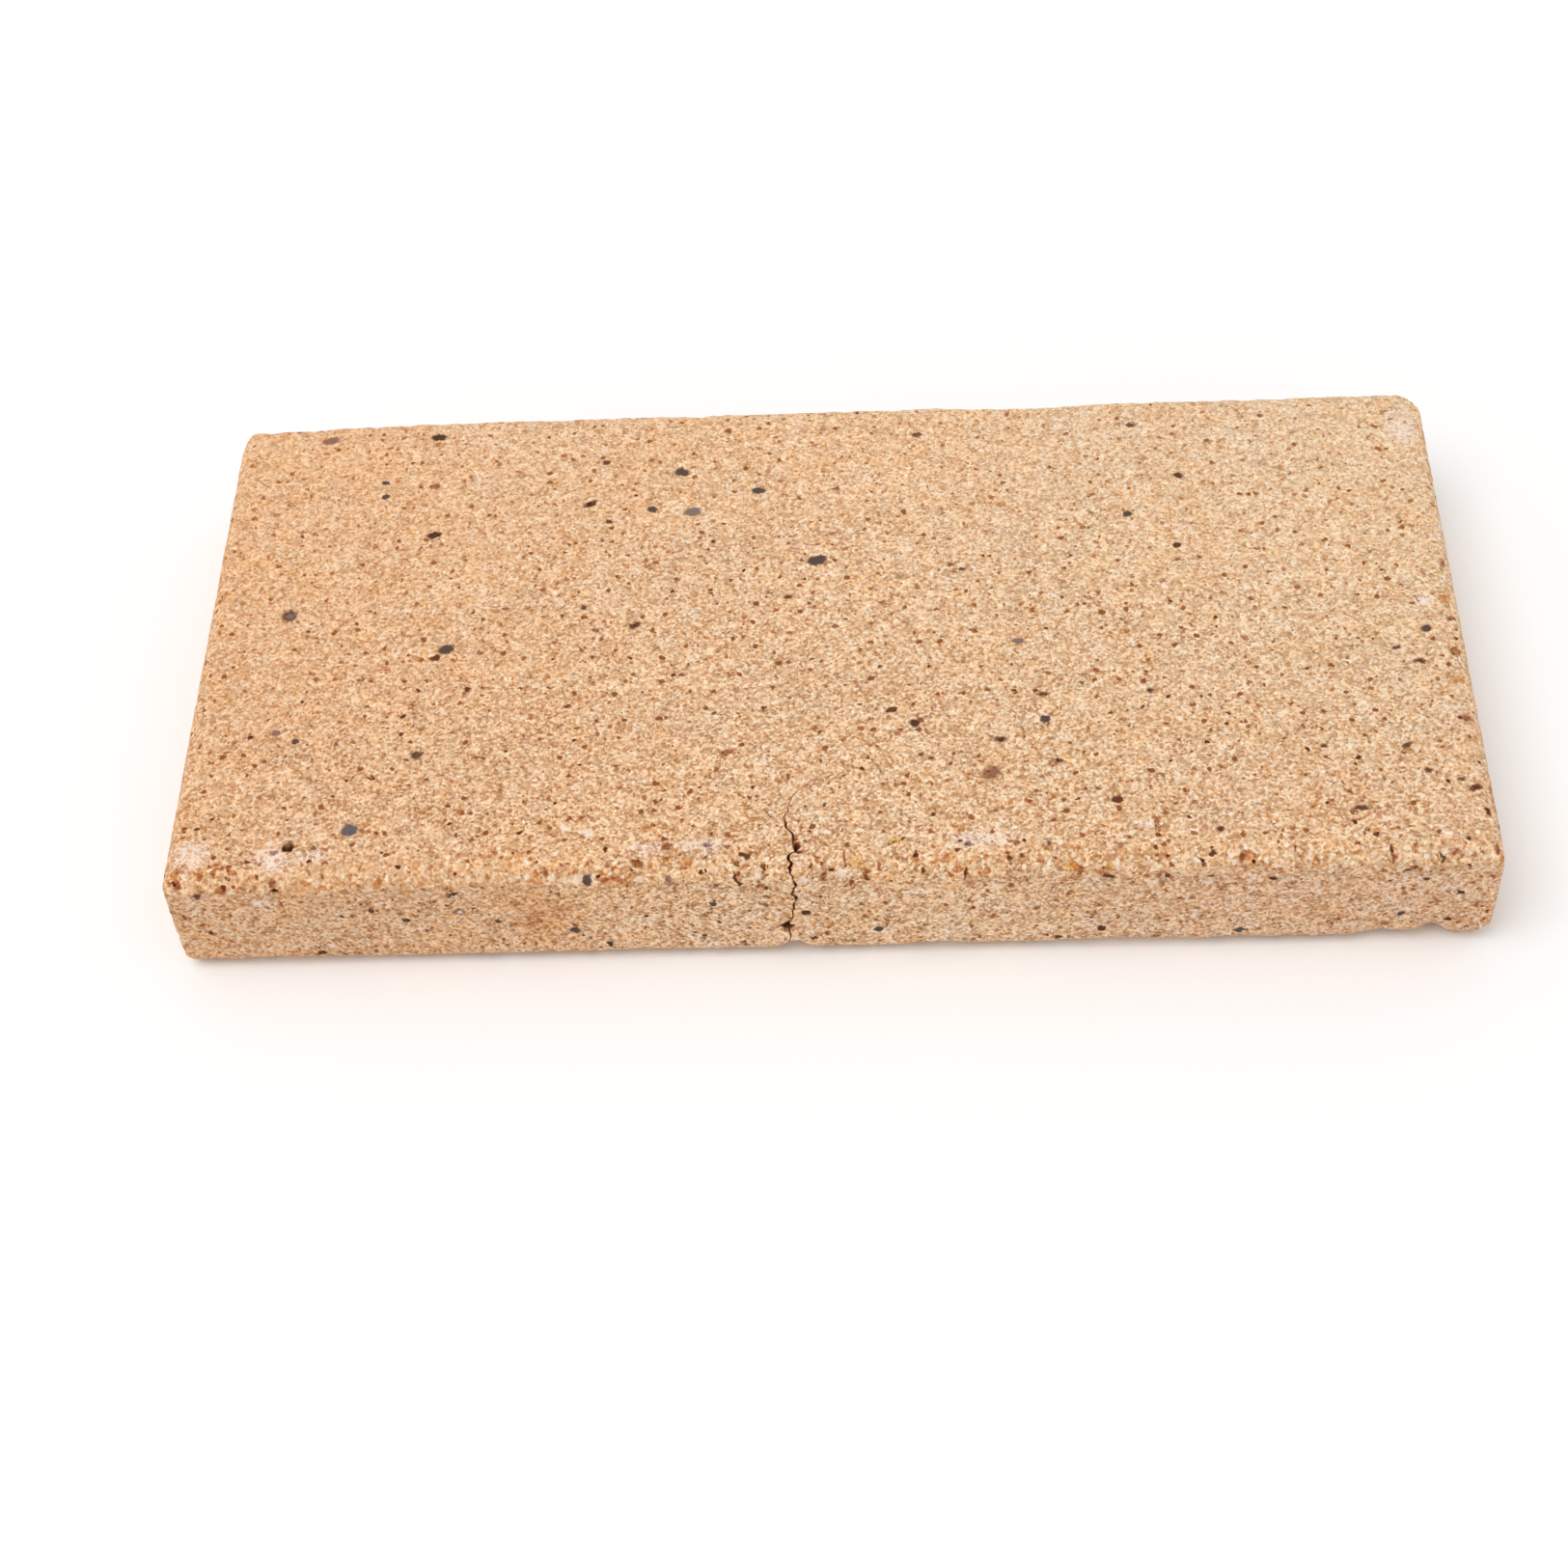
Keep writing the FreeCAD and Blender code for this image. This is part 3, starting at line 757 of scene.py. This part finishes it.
FRONT_MARKS = (
    ("wash", ORANGE, (-50.0, 13.5), (10.0, 11.0)),
    ("bloom", BLOOM, (-98.1, 18.7), (2.6, 1.2)),
    ("bloom", BLOOM, (-88.6, 6.2), (2.4, 1.0)),
    ("bloom", BLOOM, (-20.6, 4.0), (3.0, 1.2)),
    ("stone", GREY, (-108.7, 21.0), (0.7, 0.7)),
    ("stone", UMBER, (-103.9, 22.4), (0.65, 0.5)),
    ("stain", RUST, (-111.9, 23.0), (0.9, 0.9), 30.0),
    ("stone", UMBER, (-108.3, 10.7), (0.6, 0.6)),
    ("stain", RUST, (-95.2, 23.4), (1.0, 0.9)),
    ("stain", RUST, (-94.5, 18.3), (0.5, 0.9), 15.0),
    ("stone", UMBER, (-89.8, 4.2), (1.0, 0.6)),
    ("stone", INK, (-84.7, 14.6), (0.6, 0.4)),
    ("stone", UMBER, (-79.3, 16.0), (0.7, 0.7)),
    ("stone", INK, (-73.6, 13.0), (1.1, 0.5), -5.0),
    ("stone", INK, (-64.3, 20.2), (1.0, 0.5), 15.0),
    ("stone", PURPLE, (-64.0, 15.2), (1.2, 1.0)),
    ("crumb", CREAM, (-63.9, 15.0), (0.7, 0.5)),
    ("stone", UMBER, (-57.6, 12.2), (0.7, 0.7)),
    ("stain", RUST, (-48.0, 24.0), (0.7, 0.8)),
    ("stain", ORANGE, (-50.0, 23.4), (1.6, 1.6)),
    ("stone", GREY, (-44.4, 9.1), (1.1, 0.9)),
    ("stone", GREY, (-41.0, 22.7), (1.1, 1.1)),
    ("crumb", CREAM, (-42.8, 22.8), (1.0, 0.9)),
    ("crumb", CREAM, (-47.0, 23.1), (0.8, 0.7)),
    ("crumb", CREAM, (-32.0, 22.6), (1.0, 0.9)),
    ("stain", ORANGE, (-24.0, 24.7), (1.4, 1.0)),
    ("stone", INK, (-38.6, 4.9), (0.8, 0.7)),
    ("stain", PURPLE, (-27.1, 22.5), (0.9, 0.8)),
    ("stone", GREY, (-19.8, 15.8), (0.9, 0.7)),
    ("stain", RUST, (-19.0, 20.9), (0.8, 0.7)),
    ("stone", UMBER, (-15.4, 22.0), (0.4, 1.7), 25.0),
    ("crumb", CREAM, (-11.6, 22.8), (0.9, 0.9)),
    ("stain", RUST, (-11.5, 20.6), (1.0, 0.6)),
    ("stone", INK, (-4.0, 12.7), (1.0, 0.7)),
    # Painted shade in the pit on the front beside the crack, laid as a dark stone
    ("stone", INK, (CRACK_X - 1.1, 8.3), (1.4, 0.7)),
    ("stone", UMBER, (-2.8, 5.3), (0.7, 0.5)),
    ("stain", GOLD, (5.3, 24.2), (2.1, 1.0)),
    ("stain", RUST, (-0.5, 22.5), (0.6, 1.4), -30.0),
    ("stain", RUST, (3.1, 24.8), (0.4, 1.2), 10.0),
    ("crumb", CREAM, (2.6, 22.9), (1.2, 1.1)),
    ("crumb", BLOOM, (-4.1, 21.7), (1.3, 0.8)),
    ("stain", RUST, (4.2, 20.9), (0.5, 1.5)),
    ("stain", RUST, (6.8, 22.3), (0.7, 1.1), 10.0),
    ("stain", RUST, (9.0, 23.8), (0.6, 0.6)),
    ("stone", INK, (15.3, 24.7), (0.55, 0.3)),
    ("stone", GREY, (8.6, 7.5), (1.1, 0.8), -10.0),
    ("stone", UMBER, (16.5, 23.0), (0.55, 0.5), 30.0),
    ("stain", ORANGE, (22.3, 23.1), (0.9, 1.0)),
    ("stone", UMBER, (23.7, 22.3), (0.3, 1.5)),
    ("stain", RUST, (31.5, 19.0), (0.9, 0.7)),
    ("stain", RUST, (36.0, 12.6), (0.8, 0.7)),
    ("stone", UMBER, (39.9, 3.8), (0.8, 0.7), 20.0),
    ("stain", GOLD, (41.4, 23.0), (1.7, 1.0)),
    ("stain", RUST, (43.2, 22.5), (1.0, 0.9)),
    ("stone", INK, (47.4, 6.3), (1.0, 0.9)),
    ("crumb", CREAM, (47.6, 7.0), (0.5, 0.4)),
    ("stone", UMBER, (48.0, 21.0), (1.5, 0.5), -5.0),
    ("crumb", CREAM, (49.5, 23.4), (0.7, 1.2)),
    ("stain", GOLD, (48.1, 23.0), (0.7, 1.2)),
    ("stain", ORANGE, (50.3, 24.6), (0.9, 0.8)),
    ("stone", UMBER, (58.0, 20.8), (0.65, 0.45)),
    ("stain", RUST, (64.0, 23.2), (0.5, 0.6)),
    ("stone", UMBER, (65.4, 24.4), (0.75, 0.35)),
    ("stone", UMBER, (65.3, 20.5), (0.5, 0.3)),
    ("crumb", CREAM, (68.6, 24.0), (0.7, 0.6)),
    ("stain", ORANGE, (71.6, 23.6), (1.9, 1.5)),
    ("stain", RUST, (70.5, 24.0), (0.8, 0.8)),
    ("stain", PURPLE, (79.5, 24.7), (0.5, 0.5)),
    ("stone", GREY, (71.2, 4.9), (1.2, 0.7), 5.0),
    ("stone", INK, (76.0, 19.3), (0.9, 0.5)),
    ("stain", RUST, (95.8, 23.3), (0.5, 1.4), 15.0),
    ("stain", PURPLE, (96.3, 5.3), (1.0, 0.7), -25.0),
    ("stone", GREY, (98.6, 8.6), (0.9, 0.6), 30.0),
    ("stain", RUST, (99.4, 21.5), (1.2, 0.5)),
    ("stone", UMBER, (102.0, 18.3), (0.8, 0.5), 5.0),
    ("stone", GREY, (104.1, 22.9), (0.4, 0.9), 35.0),
    ("stain", RUST, (106.4, 23.7), (2.2, 0.7), 5.0),
    ("stain", RUST, (113.3, 24.3), (0.8, 1.0)),
    ("stone", INK, (106.9, 6.6), (1.0, 0.5), 5.0),
    ("stone", INK, (108.4, 14.3), (0.8, 0.6), -15.0),
)

# How a mark is laid on: blend, where its full strength begins as a share of its half size, strength
KINDS = {
    "bloom": ("MIX", 0.15, 0.78),
    "wash": ("MULTIPLY", 0.0, 0.55),
    "stain": ("MULTIPLY", 0.40, 0.93),
    "stone": ("MIX", 0.62, 0.96),
    "crumb": ("MIX", 0.40, 0.65),
}
# Half size of a mark into the clay, and what stretches the marks on the top and up the front
DEEP = 2.2
SPREAD = 1.15
RISE = 1.2
# A bloom is uneven: its share by the shade under it, and by a noise of this size
BLOOM_ON_SHADE = (-40.0, 10.0, 0.2, 1.0)
BLOOM_NOISE, BLOOM_ON_NOISE = 1.3, (0.38, 0.54, 0.4, 1.0)

# The top and the front have this many zones along the brick, each with a material that holds only
# the marks that reach into it, because one material can't hold them all. Marks are taken as this
# much larger than they are, because the bend of the grains moves them.
ZONES = 4
MARK_SLACK = 0.9
# What is no further than this below the top or behind the front belongs to it
ZONE_BELOW_TOP, ZONE_BEHIND_FRONT = 1.0, 2.2


def clay_shades(t, p, bent, band, depth, along):
    """Grains of every size, as swings of shade around the clay's middle shade."""
    fine, chip = t.picks(t.cells(p, FINE)), t.picks(t.cells(bent, CHIP))
    base = t.total(
        t.product(t.math("SUBTRACT", fine[0], 0.5), FINE_SHADES),
        t.product(t.math("SUBTRACT", chip[0], 0.5), CHIP_SHADES),
        t.swing(p, *FINE_SWING),
    )
    grit, pock, clot = t.grains(bent, *GRIT), t.grains(bent, *POCK), t.grains(bent, *CLOT)
    sunk = t.product(pock[0], t.span(depth, *POCKS_DEPTH, "LINEAR"))
    shade = t.total(
        base,
        t.product(grit[0], t.span(grit[1], 0.0, 1.0, *GRIT_SHADES, "LINEAR")),
        t.product(sunk, t.span(pock[1], 0.0, 1.0, *POCK_SHADES, "LINEAR")),
        t.product(clot[0], t.span(clot[1], 0.0, 1.0, *CLOT_SHADES, "LINEAR")),
        t.swing(bent, *BENT_SWING),
        *[t.swing(p, *swing) for swing in BROAD_SWINGS],
        t.product(band, BAND_SHADE),
    )
    plain_arris = t.product(band, t.span(along, *PLAIN_FROM), t.span(along, *PLAIN_TO))
    shade = t.product(
        shade,
        t.span(depth, *CONTRAST_DEPTH, "LINEAR"),
        t.span(along, *CONTRAST_RIGHT, "LINEAR"),
        t.span(along, *CONTRAST_LEFT, "LINEAR"),
        t.span(plain_arris, *CONTRAST_PLAIN, "LINEAR"),
        t.span(band, *CONTRAST_BAND, "LINEAR"),
    )
    rusty_pocks = t.product(pock[0], t.span(pock[2], *RUSTY_POCK))
    rusty_grit = t.product(grit[0], t.span(grit[2], *RUSTY_GRIT))
    return base, shade, t.math("MAXIMUM", rusty_pocks, rusty_grit)


def shade_ramp(t, shade):
    """The clay's colour for a shade."""
    place = t.span(shade, SHADE_LOW, SHADE_HIGH, kind="LINEAR")
    ramp = t.add("ShaderNodeValToRGB", {0: place})
    stops = ramp.color_ramp.elements
    for index, (level, colour) in enumerate(SHADES):
        position = (level - SHADE_LOW) / (SHADE_HIGH - SHADE_LOW)
        # A new ramp has two stops
        stop = stops[index] if index < 2 else stops.new(position)
        stop.position = position
        stop.color = linear(*colour)
    return ramp.outputs[0]


def mark_spot(on_top, place, half, turn=0.0):
    """Place, turn and half sizes in space of a mark on the top or on the front and its arris."""
    angle = math.radians(turn)
    if on_top:
        return (*place, TOP), (0.0, 0.0, angle), (half[0] * SPREAD, half[1] * SPREAD, DEEP)
    drop = max(place[1] - TOP + TOP_ARRIS_RADIUS, 0.0)
    back = TOP_ARRIS_RADIUS - math.sqrt(TOP_ARRIS_RADIUS ** 2 - drop ** 2)
    return (place[0], FRONT + back, place[1]), (0.0, -angle, 0.0), (half[0], DEEP, half[1] * RISE)


def all_marks():
    """Every mark's place, turn and half sizes in space, its kind and its colour."""
    found = []
    for on_top, table in ((True, TOP_MARKS), (False, FRONT_MARKS)):
        for kind, colour, place, half, *turn in table:
            found.append((*mark_spot(on_top, place, half, *turn), kind, colour))
    return found


def zones(points, reach=0.0):
    """For each zone of the top and then of the front: which points lie in it or within reach."""
    x, y, z = points.T
    found = []
    borders = np.linspace(LEFT, RIGHT, ZONES + 1)
    for in_face in (z > TOP - ZONE_BELOW_TOP - reach, y < FRONT + ZONE_BEHIND_FRONT + reach):
        for low, high in zip(borders[:-1], borders[1:]):
            found.append((x >= low - reach) & (x <= high + reach) & in_face)
    return found


def add_mark(t, vector, shade, colour, mark):
    """Lays one mark over the colour."""
    spot, turned, sizes, kind, tint = mark
    blend, core, strength = KINDS[kind]
    node = t.add("ShaderNodeMapping", {"Vector": vector}, vector_type="TEXTURE")
    for name, value in (("Location", spot), ("Rotation", turned), ("Scale", sizes)):
        node.inputs[name].default_value = value
    away = t.vector("LENGTH", node.outputs[0], (0.0,) * 3, output=1)
    here = t.span(away, 1.0, core, 0.0, strength)
    if kind == "bloom":
        uneven = t.span(t.noise(vector, BLOOM_NOISE), *BLOOM_ON_NOISE)
        here = t.product(here, t.span(shade, *BLOOM_ON_SHADE), uneven)
    if blend == "MULTIPLY":
        tint = [255.0 * (c / clay) for c, clay in zip(tint, CLAY)]
    return t.mix(here, colour, linear(*tint), blend)


def broad_tone(t, colour, axes, depth, along):
    """Warmer left, paler right and back, greyer at the front face's ends; painted light on the right
    rim.
    """
    tone = t.mix(along, (*TONE_LEFT, 1.0), (*TONE_RIGHT, 1.0))
    level = t.mix(t.span(depth, FACE_DEPTH, 1.0), (*TONE_NEAR, 1.0), (*TONE_FAR, 1.0))
    level = t.mix(t.span(depth, 0.0, FACE_DEPTH, 1.0, 0.0), level, (*TONE_FACE, 1.0))
    colour = t.mix(1.0, colour, t.mix(1.0, tone, level, "MULTIPLY"), "MULTIPLY")
    near_right = t.product(t.span(along, *NEAR_RIGHT_ALONG), t.span(depth, *NEAR_RIGHT_DEPTH))
    colour = t.tint(near_right, colour, TONE_NEAR_RIGHT)
    edge = t.product(t.span(axes[0], *EDGE_X), t.span(depth, *EDGE_DEPTH))
    colour = t.tint(edge, colour, TONE_EDGE)
    # Painted light: a brighter rim along the right end
    colour = t.tint(t.span(axes[0], *RIM_X), colour, RIM_PAINTED_LIGHT)
    ends = t.mix(t.span(along, *LEFT_ALONG), (*FACE_LEFT, 1.0), (*FACE_MIDDLE, 1.0))
    ends = t.mix(t.span(along, *RIGHT_ALONG), ends, (*FACE_RIGHT, 1.0))
    front_face = t.product(t.span(axes[2], *FACE_Z, 1.0, 0.0), t.span(axes[1], *FACE_Y, 1.0, 0.0))
    return t.mix(front_face, colour, ends, "MULTIPLY")


def grain_tints(t, colour, p, bent, rust):
    """Warm, cold and rusty grains."""
    warm = t.total(*[t.swing(p, *swing) for swing in WARM_SWINGS], t.swing(bent, *WARM_BENT_SWING))
    colour = t.tint(t.math("MULTIPLY", warm, GRAIN_TINT, clamp=True), colour, WARM_GRAIN)
    colour = t.tint(t.math("MULTIPLY", warm, -GRAIN_TINT, clamp=True), colour, COLD_GRAIN)
    return t.mix(t.product(rust, RUST_STRENGTH), colour, linear(*RUST_GRAIN))


def worn_arris_and_gap_shadow(t, colour, p, bent, band, axes, depth, along):
    """Rusty gaps with painted shadow between pale crumbs, which reach further back right of the crack.
    """
    arris = t.span(band, *ARRIS_BAND)
    reached = t.math("DIVIDE", depth, t.span(along, *STREWN_REACH))
    crumbly = t.product(t.span(reached, *STREWN_THINNING), t.span(axes[2], *FACE_Z))
    spared = t.product(t.span(along, *SPARED_FROM), t.span(along, *SPARED_TO), SPARED_SHARE)
    patches = t.product(t.span(t.noise(p, PATCH), *PATCH_WEAR), t.math("SUBTRACT", 1.0, spared))
    spots = t.product(crumbly, t.span(t.noise(p, SPOT), *SPOT_WEAR))
    corner = t.product(arris, t.span(along, *CORNER_WEAR))
    worn = t.chain("MAXIMUM", t.product(arris, patches), spots, corner)
    lumps = t.noise(bent, LUMP)
    # Rusty gaps with painted shadow between the crumbs, where the arris is worn
    for gap, tint in GAPS_RUST_AND_SHADOW:
        colour = t.tint(t.product(t.span(lumps, *gap), worn), colour, tint)
    crumbs = t.grains(bent, *CRUMB)
    pale = t.product(crumbs[0], t.span(crumbs[1], *PALE_CRUMBS), crumbly)
    return t.mix(pale, colour, linear(*CREAM))


def clay_material(name, marks):
    """The fired clay with its grains, tones and wear, and those of the marks that it has to show."""
    material = bpy.data.materials.new(name)
    material.use_nodes = True
    t = Tree(material.node_tree)
    place = t.add("ShaderNodeTexCoord").outputs["Object"]
    p = t.vector("MULTIPLY", place, (1.0 / MM,) * 3)
    bend = t.vector("SUBTRACT", t.noise(p, BEND, detail=1.0, output=1), (0.5,) * 3)
    bent = t.vector("ADD", p, bend)
    hollow_shade = t.add("ShaderNodeAttribute", attribute_name="hollow_shade").outputs["Fac"]
    band = t.add("ShaderNodeAttribute", attribute_name="band").outputs["Fac"]
    axes = t.add("ShaderNodeSeparateXYZ", {0: p}).outputs
    along = t.span(axes[0], LEFT, RIGHT, kind="LINEAR")
    depth = t.span(axes[1], FRONT, BACK, kind="LINEAR")
    base, shade, rust = clay_shades(t, p, bent, band, depth, along)
    colour = broad_tone(t, shade_ramp(t, shade), axes, depth, along)
    colour = grain_tints(t, colour, p, bent, rust)
    colour = worn_arris_and_gap_shadow(t, colour, p, bent, band, axes, depth, along)
    # Painted shade in the pits and the crack, darkest at their bottoms
    for deep, shown in HOLLOW_SHADE_COLOURS:
        colour = t.mix(t.span(hollow_shade, *deep), colour, linear(*shown))
    for mark in marks:
        colour = add_mark(t, bent, shade, colour, mark)
    height = t.total(t.product(base, BUMP_PER_SHADE), t.swing(p, *BUMP_SWING))
    bump = t.add("ShaderNodeBump", {"Strength": BUMP_STRENGTH, "Distance": MM, "Height": height})
    shader = t.add("ShaderNodeBsdfPrincipled", {"Base Color": colour, "Normal": bump.outputs[0]})
    shader.inputs["Roughness"].default_value = ROUGHNESS
    shader.inputs["Specular IOR Level"].default_value = SPECULAR
    t.add("ShaderNodeOutputMaterial", {"Surface": shader.outputs[0]})
    return material


def dress(brick):
    """Gives the brick its clay: each zone has a material with its own marks, the rest a plain one."""
    marks = all_marks()
    reach = [max(size for size in mark[2] if size != DEEP) + MARK_SLACK for mark in marks]
    brick.data.materials.append(clay_material("fired_clay", []))
    near = zones(np.array([mark[0] for mark in marks]), np.array(reach))
    for index, inside in enumerate(near):
        own = [mark for mark, here in zip(marks, inside) if here]
        brick.data.materials.append(clay_material(f"fired_clay_{index + 1}", own))
    centres = np.empty(len(brick.data.polygons) * 3, dtype=np.float32)
    brick.data.polygons.foreach_get("center", centres)
    chosen = np.zeros(len(brick.data.polygons), dtype=np.int32)
    # The first zone that a face lies in gives its material
    for index, inside in reversed(list(enumerate(zones(centres.reshape(-1, 3) / MM)))):
        chosen[inside] = index + 1
    brick.data.polygons.foreach_set("material_index", chosen)


# The camera of the photograph: lens and place worked out from the brick's outline
CAMERA_AT = (0.01495, -0.35577, 0.40837)
CAMERA_DOWN, CAMERA_ASIDE, CAMERA_ROLL = 50.33, -4.01, -4.49
LENS, SENSOR = 65.70, 36.0
CLIP = (0.01, 20.0)

# The key lamp, and the light of the world on the brick
KEY_PLACE, KEY_SIZE, KEY_POWER = (-1.0, -0.66, 2.75), 2.2, 36.2
AMBIENT = 0.736
# The floor: half its side, where it fades into the white, and its colour for the light and when seen
FLOOR_REACH = 4.0
FLOOR_FADE = (0.35, 1.1)
FLOOR_LIT, FLOOR_SEEN = (0.86, 0.86, 0.86, 1.0), (0.97, 0.97, 0.97, 1.0)
WHITE = (1.0, 1.0, 1.0, 1.0)


def add_camera():
    """The photograph's view."""
    down, aside, roll = (math.radians(a) for a in (CAMERA_DOWN, CAMERA_ASIDE, CAMERA_ROLL))
    ahead = Vector((math.sin(aside) * math.cos(down), math.cos(aside) * math.cos(down), -math.sin(down)))
    right = Vector((math.cos(aside), -math.sin(aside), 0.0))
    up = right.cross(ahead)
    turned_right = right * math.cos(roll) + up * math.sin(roll)
    turned_up = up * math.cos(roll) - right * math.sin(roll)
    data = bpy.data.cameras.new("camera")
    data.lens, data.sensor_width, data.sensor_fit = LENS, SENSOR, "HORIZONTAL"
    data.clip_start, data.clip_end = CLIP
    camera = bpy.data.objects.new("camera", data)
    turned = Matrix((turned_right, turned_up, -ahead)).transposed().to_4x4()
    camera.matrix_world = Matrix.Translation(CAMERA_AT) @ turned
    bpy.context.scene.collection.objects.link(camera)
    bpy.context.scene.camera = camera


def add_lamp():
    """The key lamp, which looks at the brick's place."""
    data = bpy.data.lights.new("key", "AREA")
    data.shape, data.size, data.energy = "DISK", KEY_SIZE, KEY_POWER
    lamp = bpy.data.objects.new("key", data)
    lamp.location = KEY_PLACE
    lamp.rotation_euler = (-Vector(KEY_PLACE)).to_track_quat("-Z", "Y").to_euler()
    bpy.context.scene.collection.objects.link(lamp)


def white_rays(tree):
    """1 for the rays that should see a white background."""
    rays = tree.add("ShaderNodeLightPath").outputs
    seen = tree.math("ADD", rays["Is Camera Ray"], rays["Is Glossy Ray"])
    return tree.math("ADD", seen, rays["Is Transmission Ray"], clamp=True)


def add_stage():
    """A white floor that fades away, and white all round."""
    mesh = bpy.data.meshes.new("floor")
    ways = ((-1, -1), (1, -1), (1, 1), (-1, 1))
    corners = [(a * FLOOR_REACH, b * FLOOR_REACH, 0.0) for a, b in ways]
    mesh.from_pydata(corners, [], [(0, 1, 2, 3)])
    floor = bpy.data.objects.new("floor", mesh)
    bpy.context.scene.collection.objects.link(floor)
    material = bpy.data.materials.new("floor_white")
    material.use_nodes = True
    t = Tree(material.node_tree)
    seen = white_rays(t)
    near = t.add("ShaderNodeBsdfDiffuse", {"Color": t.mix(seen, FLOOR_LIT, FLOOR_SEEN)})
    away = t.add("ShaderNodeEmission", {"Color": WHITE, "Strength": 1.0})
    place = t.add("ShaderNodeTexCoord").outputs["Object"]
    distance = t.vector("LENGTH", place, (0.0,) * 3, output=1)
    fade = t.product(seen, t.span(distance, *FLOOR_FADE))
    both = t.add("ShaderNodeMixShader", {0: fade, 1: near.outputs[0], 2: away.outputs[0]})
    t.add("ShaderNodeOutputMaterial", {"Surface": both.outputs[0]})
    mesh.materials.append(material)
    world = bpy.data.worlds.new("studio")
    bpy.context.scene.world = world
    world.use_nodes = True
    t = Tree(world.node_tree)
    strength = t.span(white_rays(t), 0.0, 1.0, AMBIENT, 1.0, "LINEAR")
    background = t.add("ShaderNodeBackground", {"Color": WHITE, "Strength": strength})
    t.add("ShaderNodeOutputWorld", {"Surface": background.outputs[0]})


brick = make_brick()
dress(brick)
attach(brick, "root")
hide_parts("firebrick")

add_camera()
add_stage()
add_lamp()

bpy.context.scene.view_settings.view_transform = "Standard"
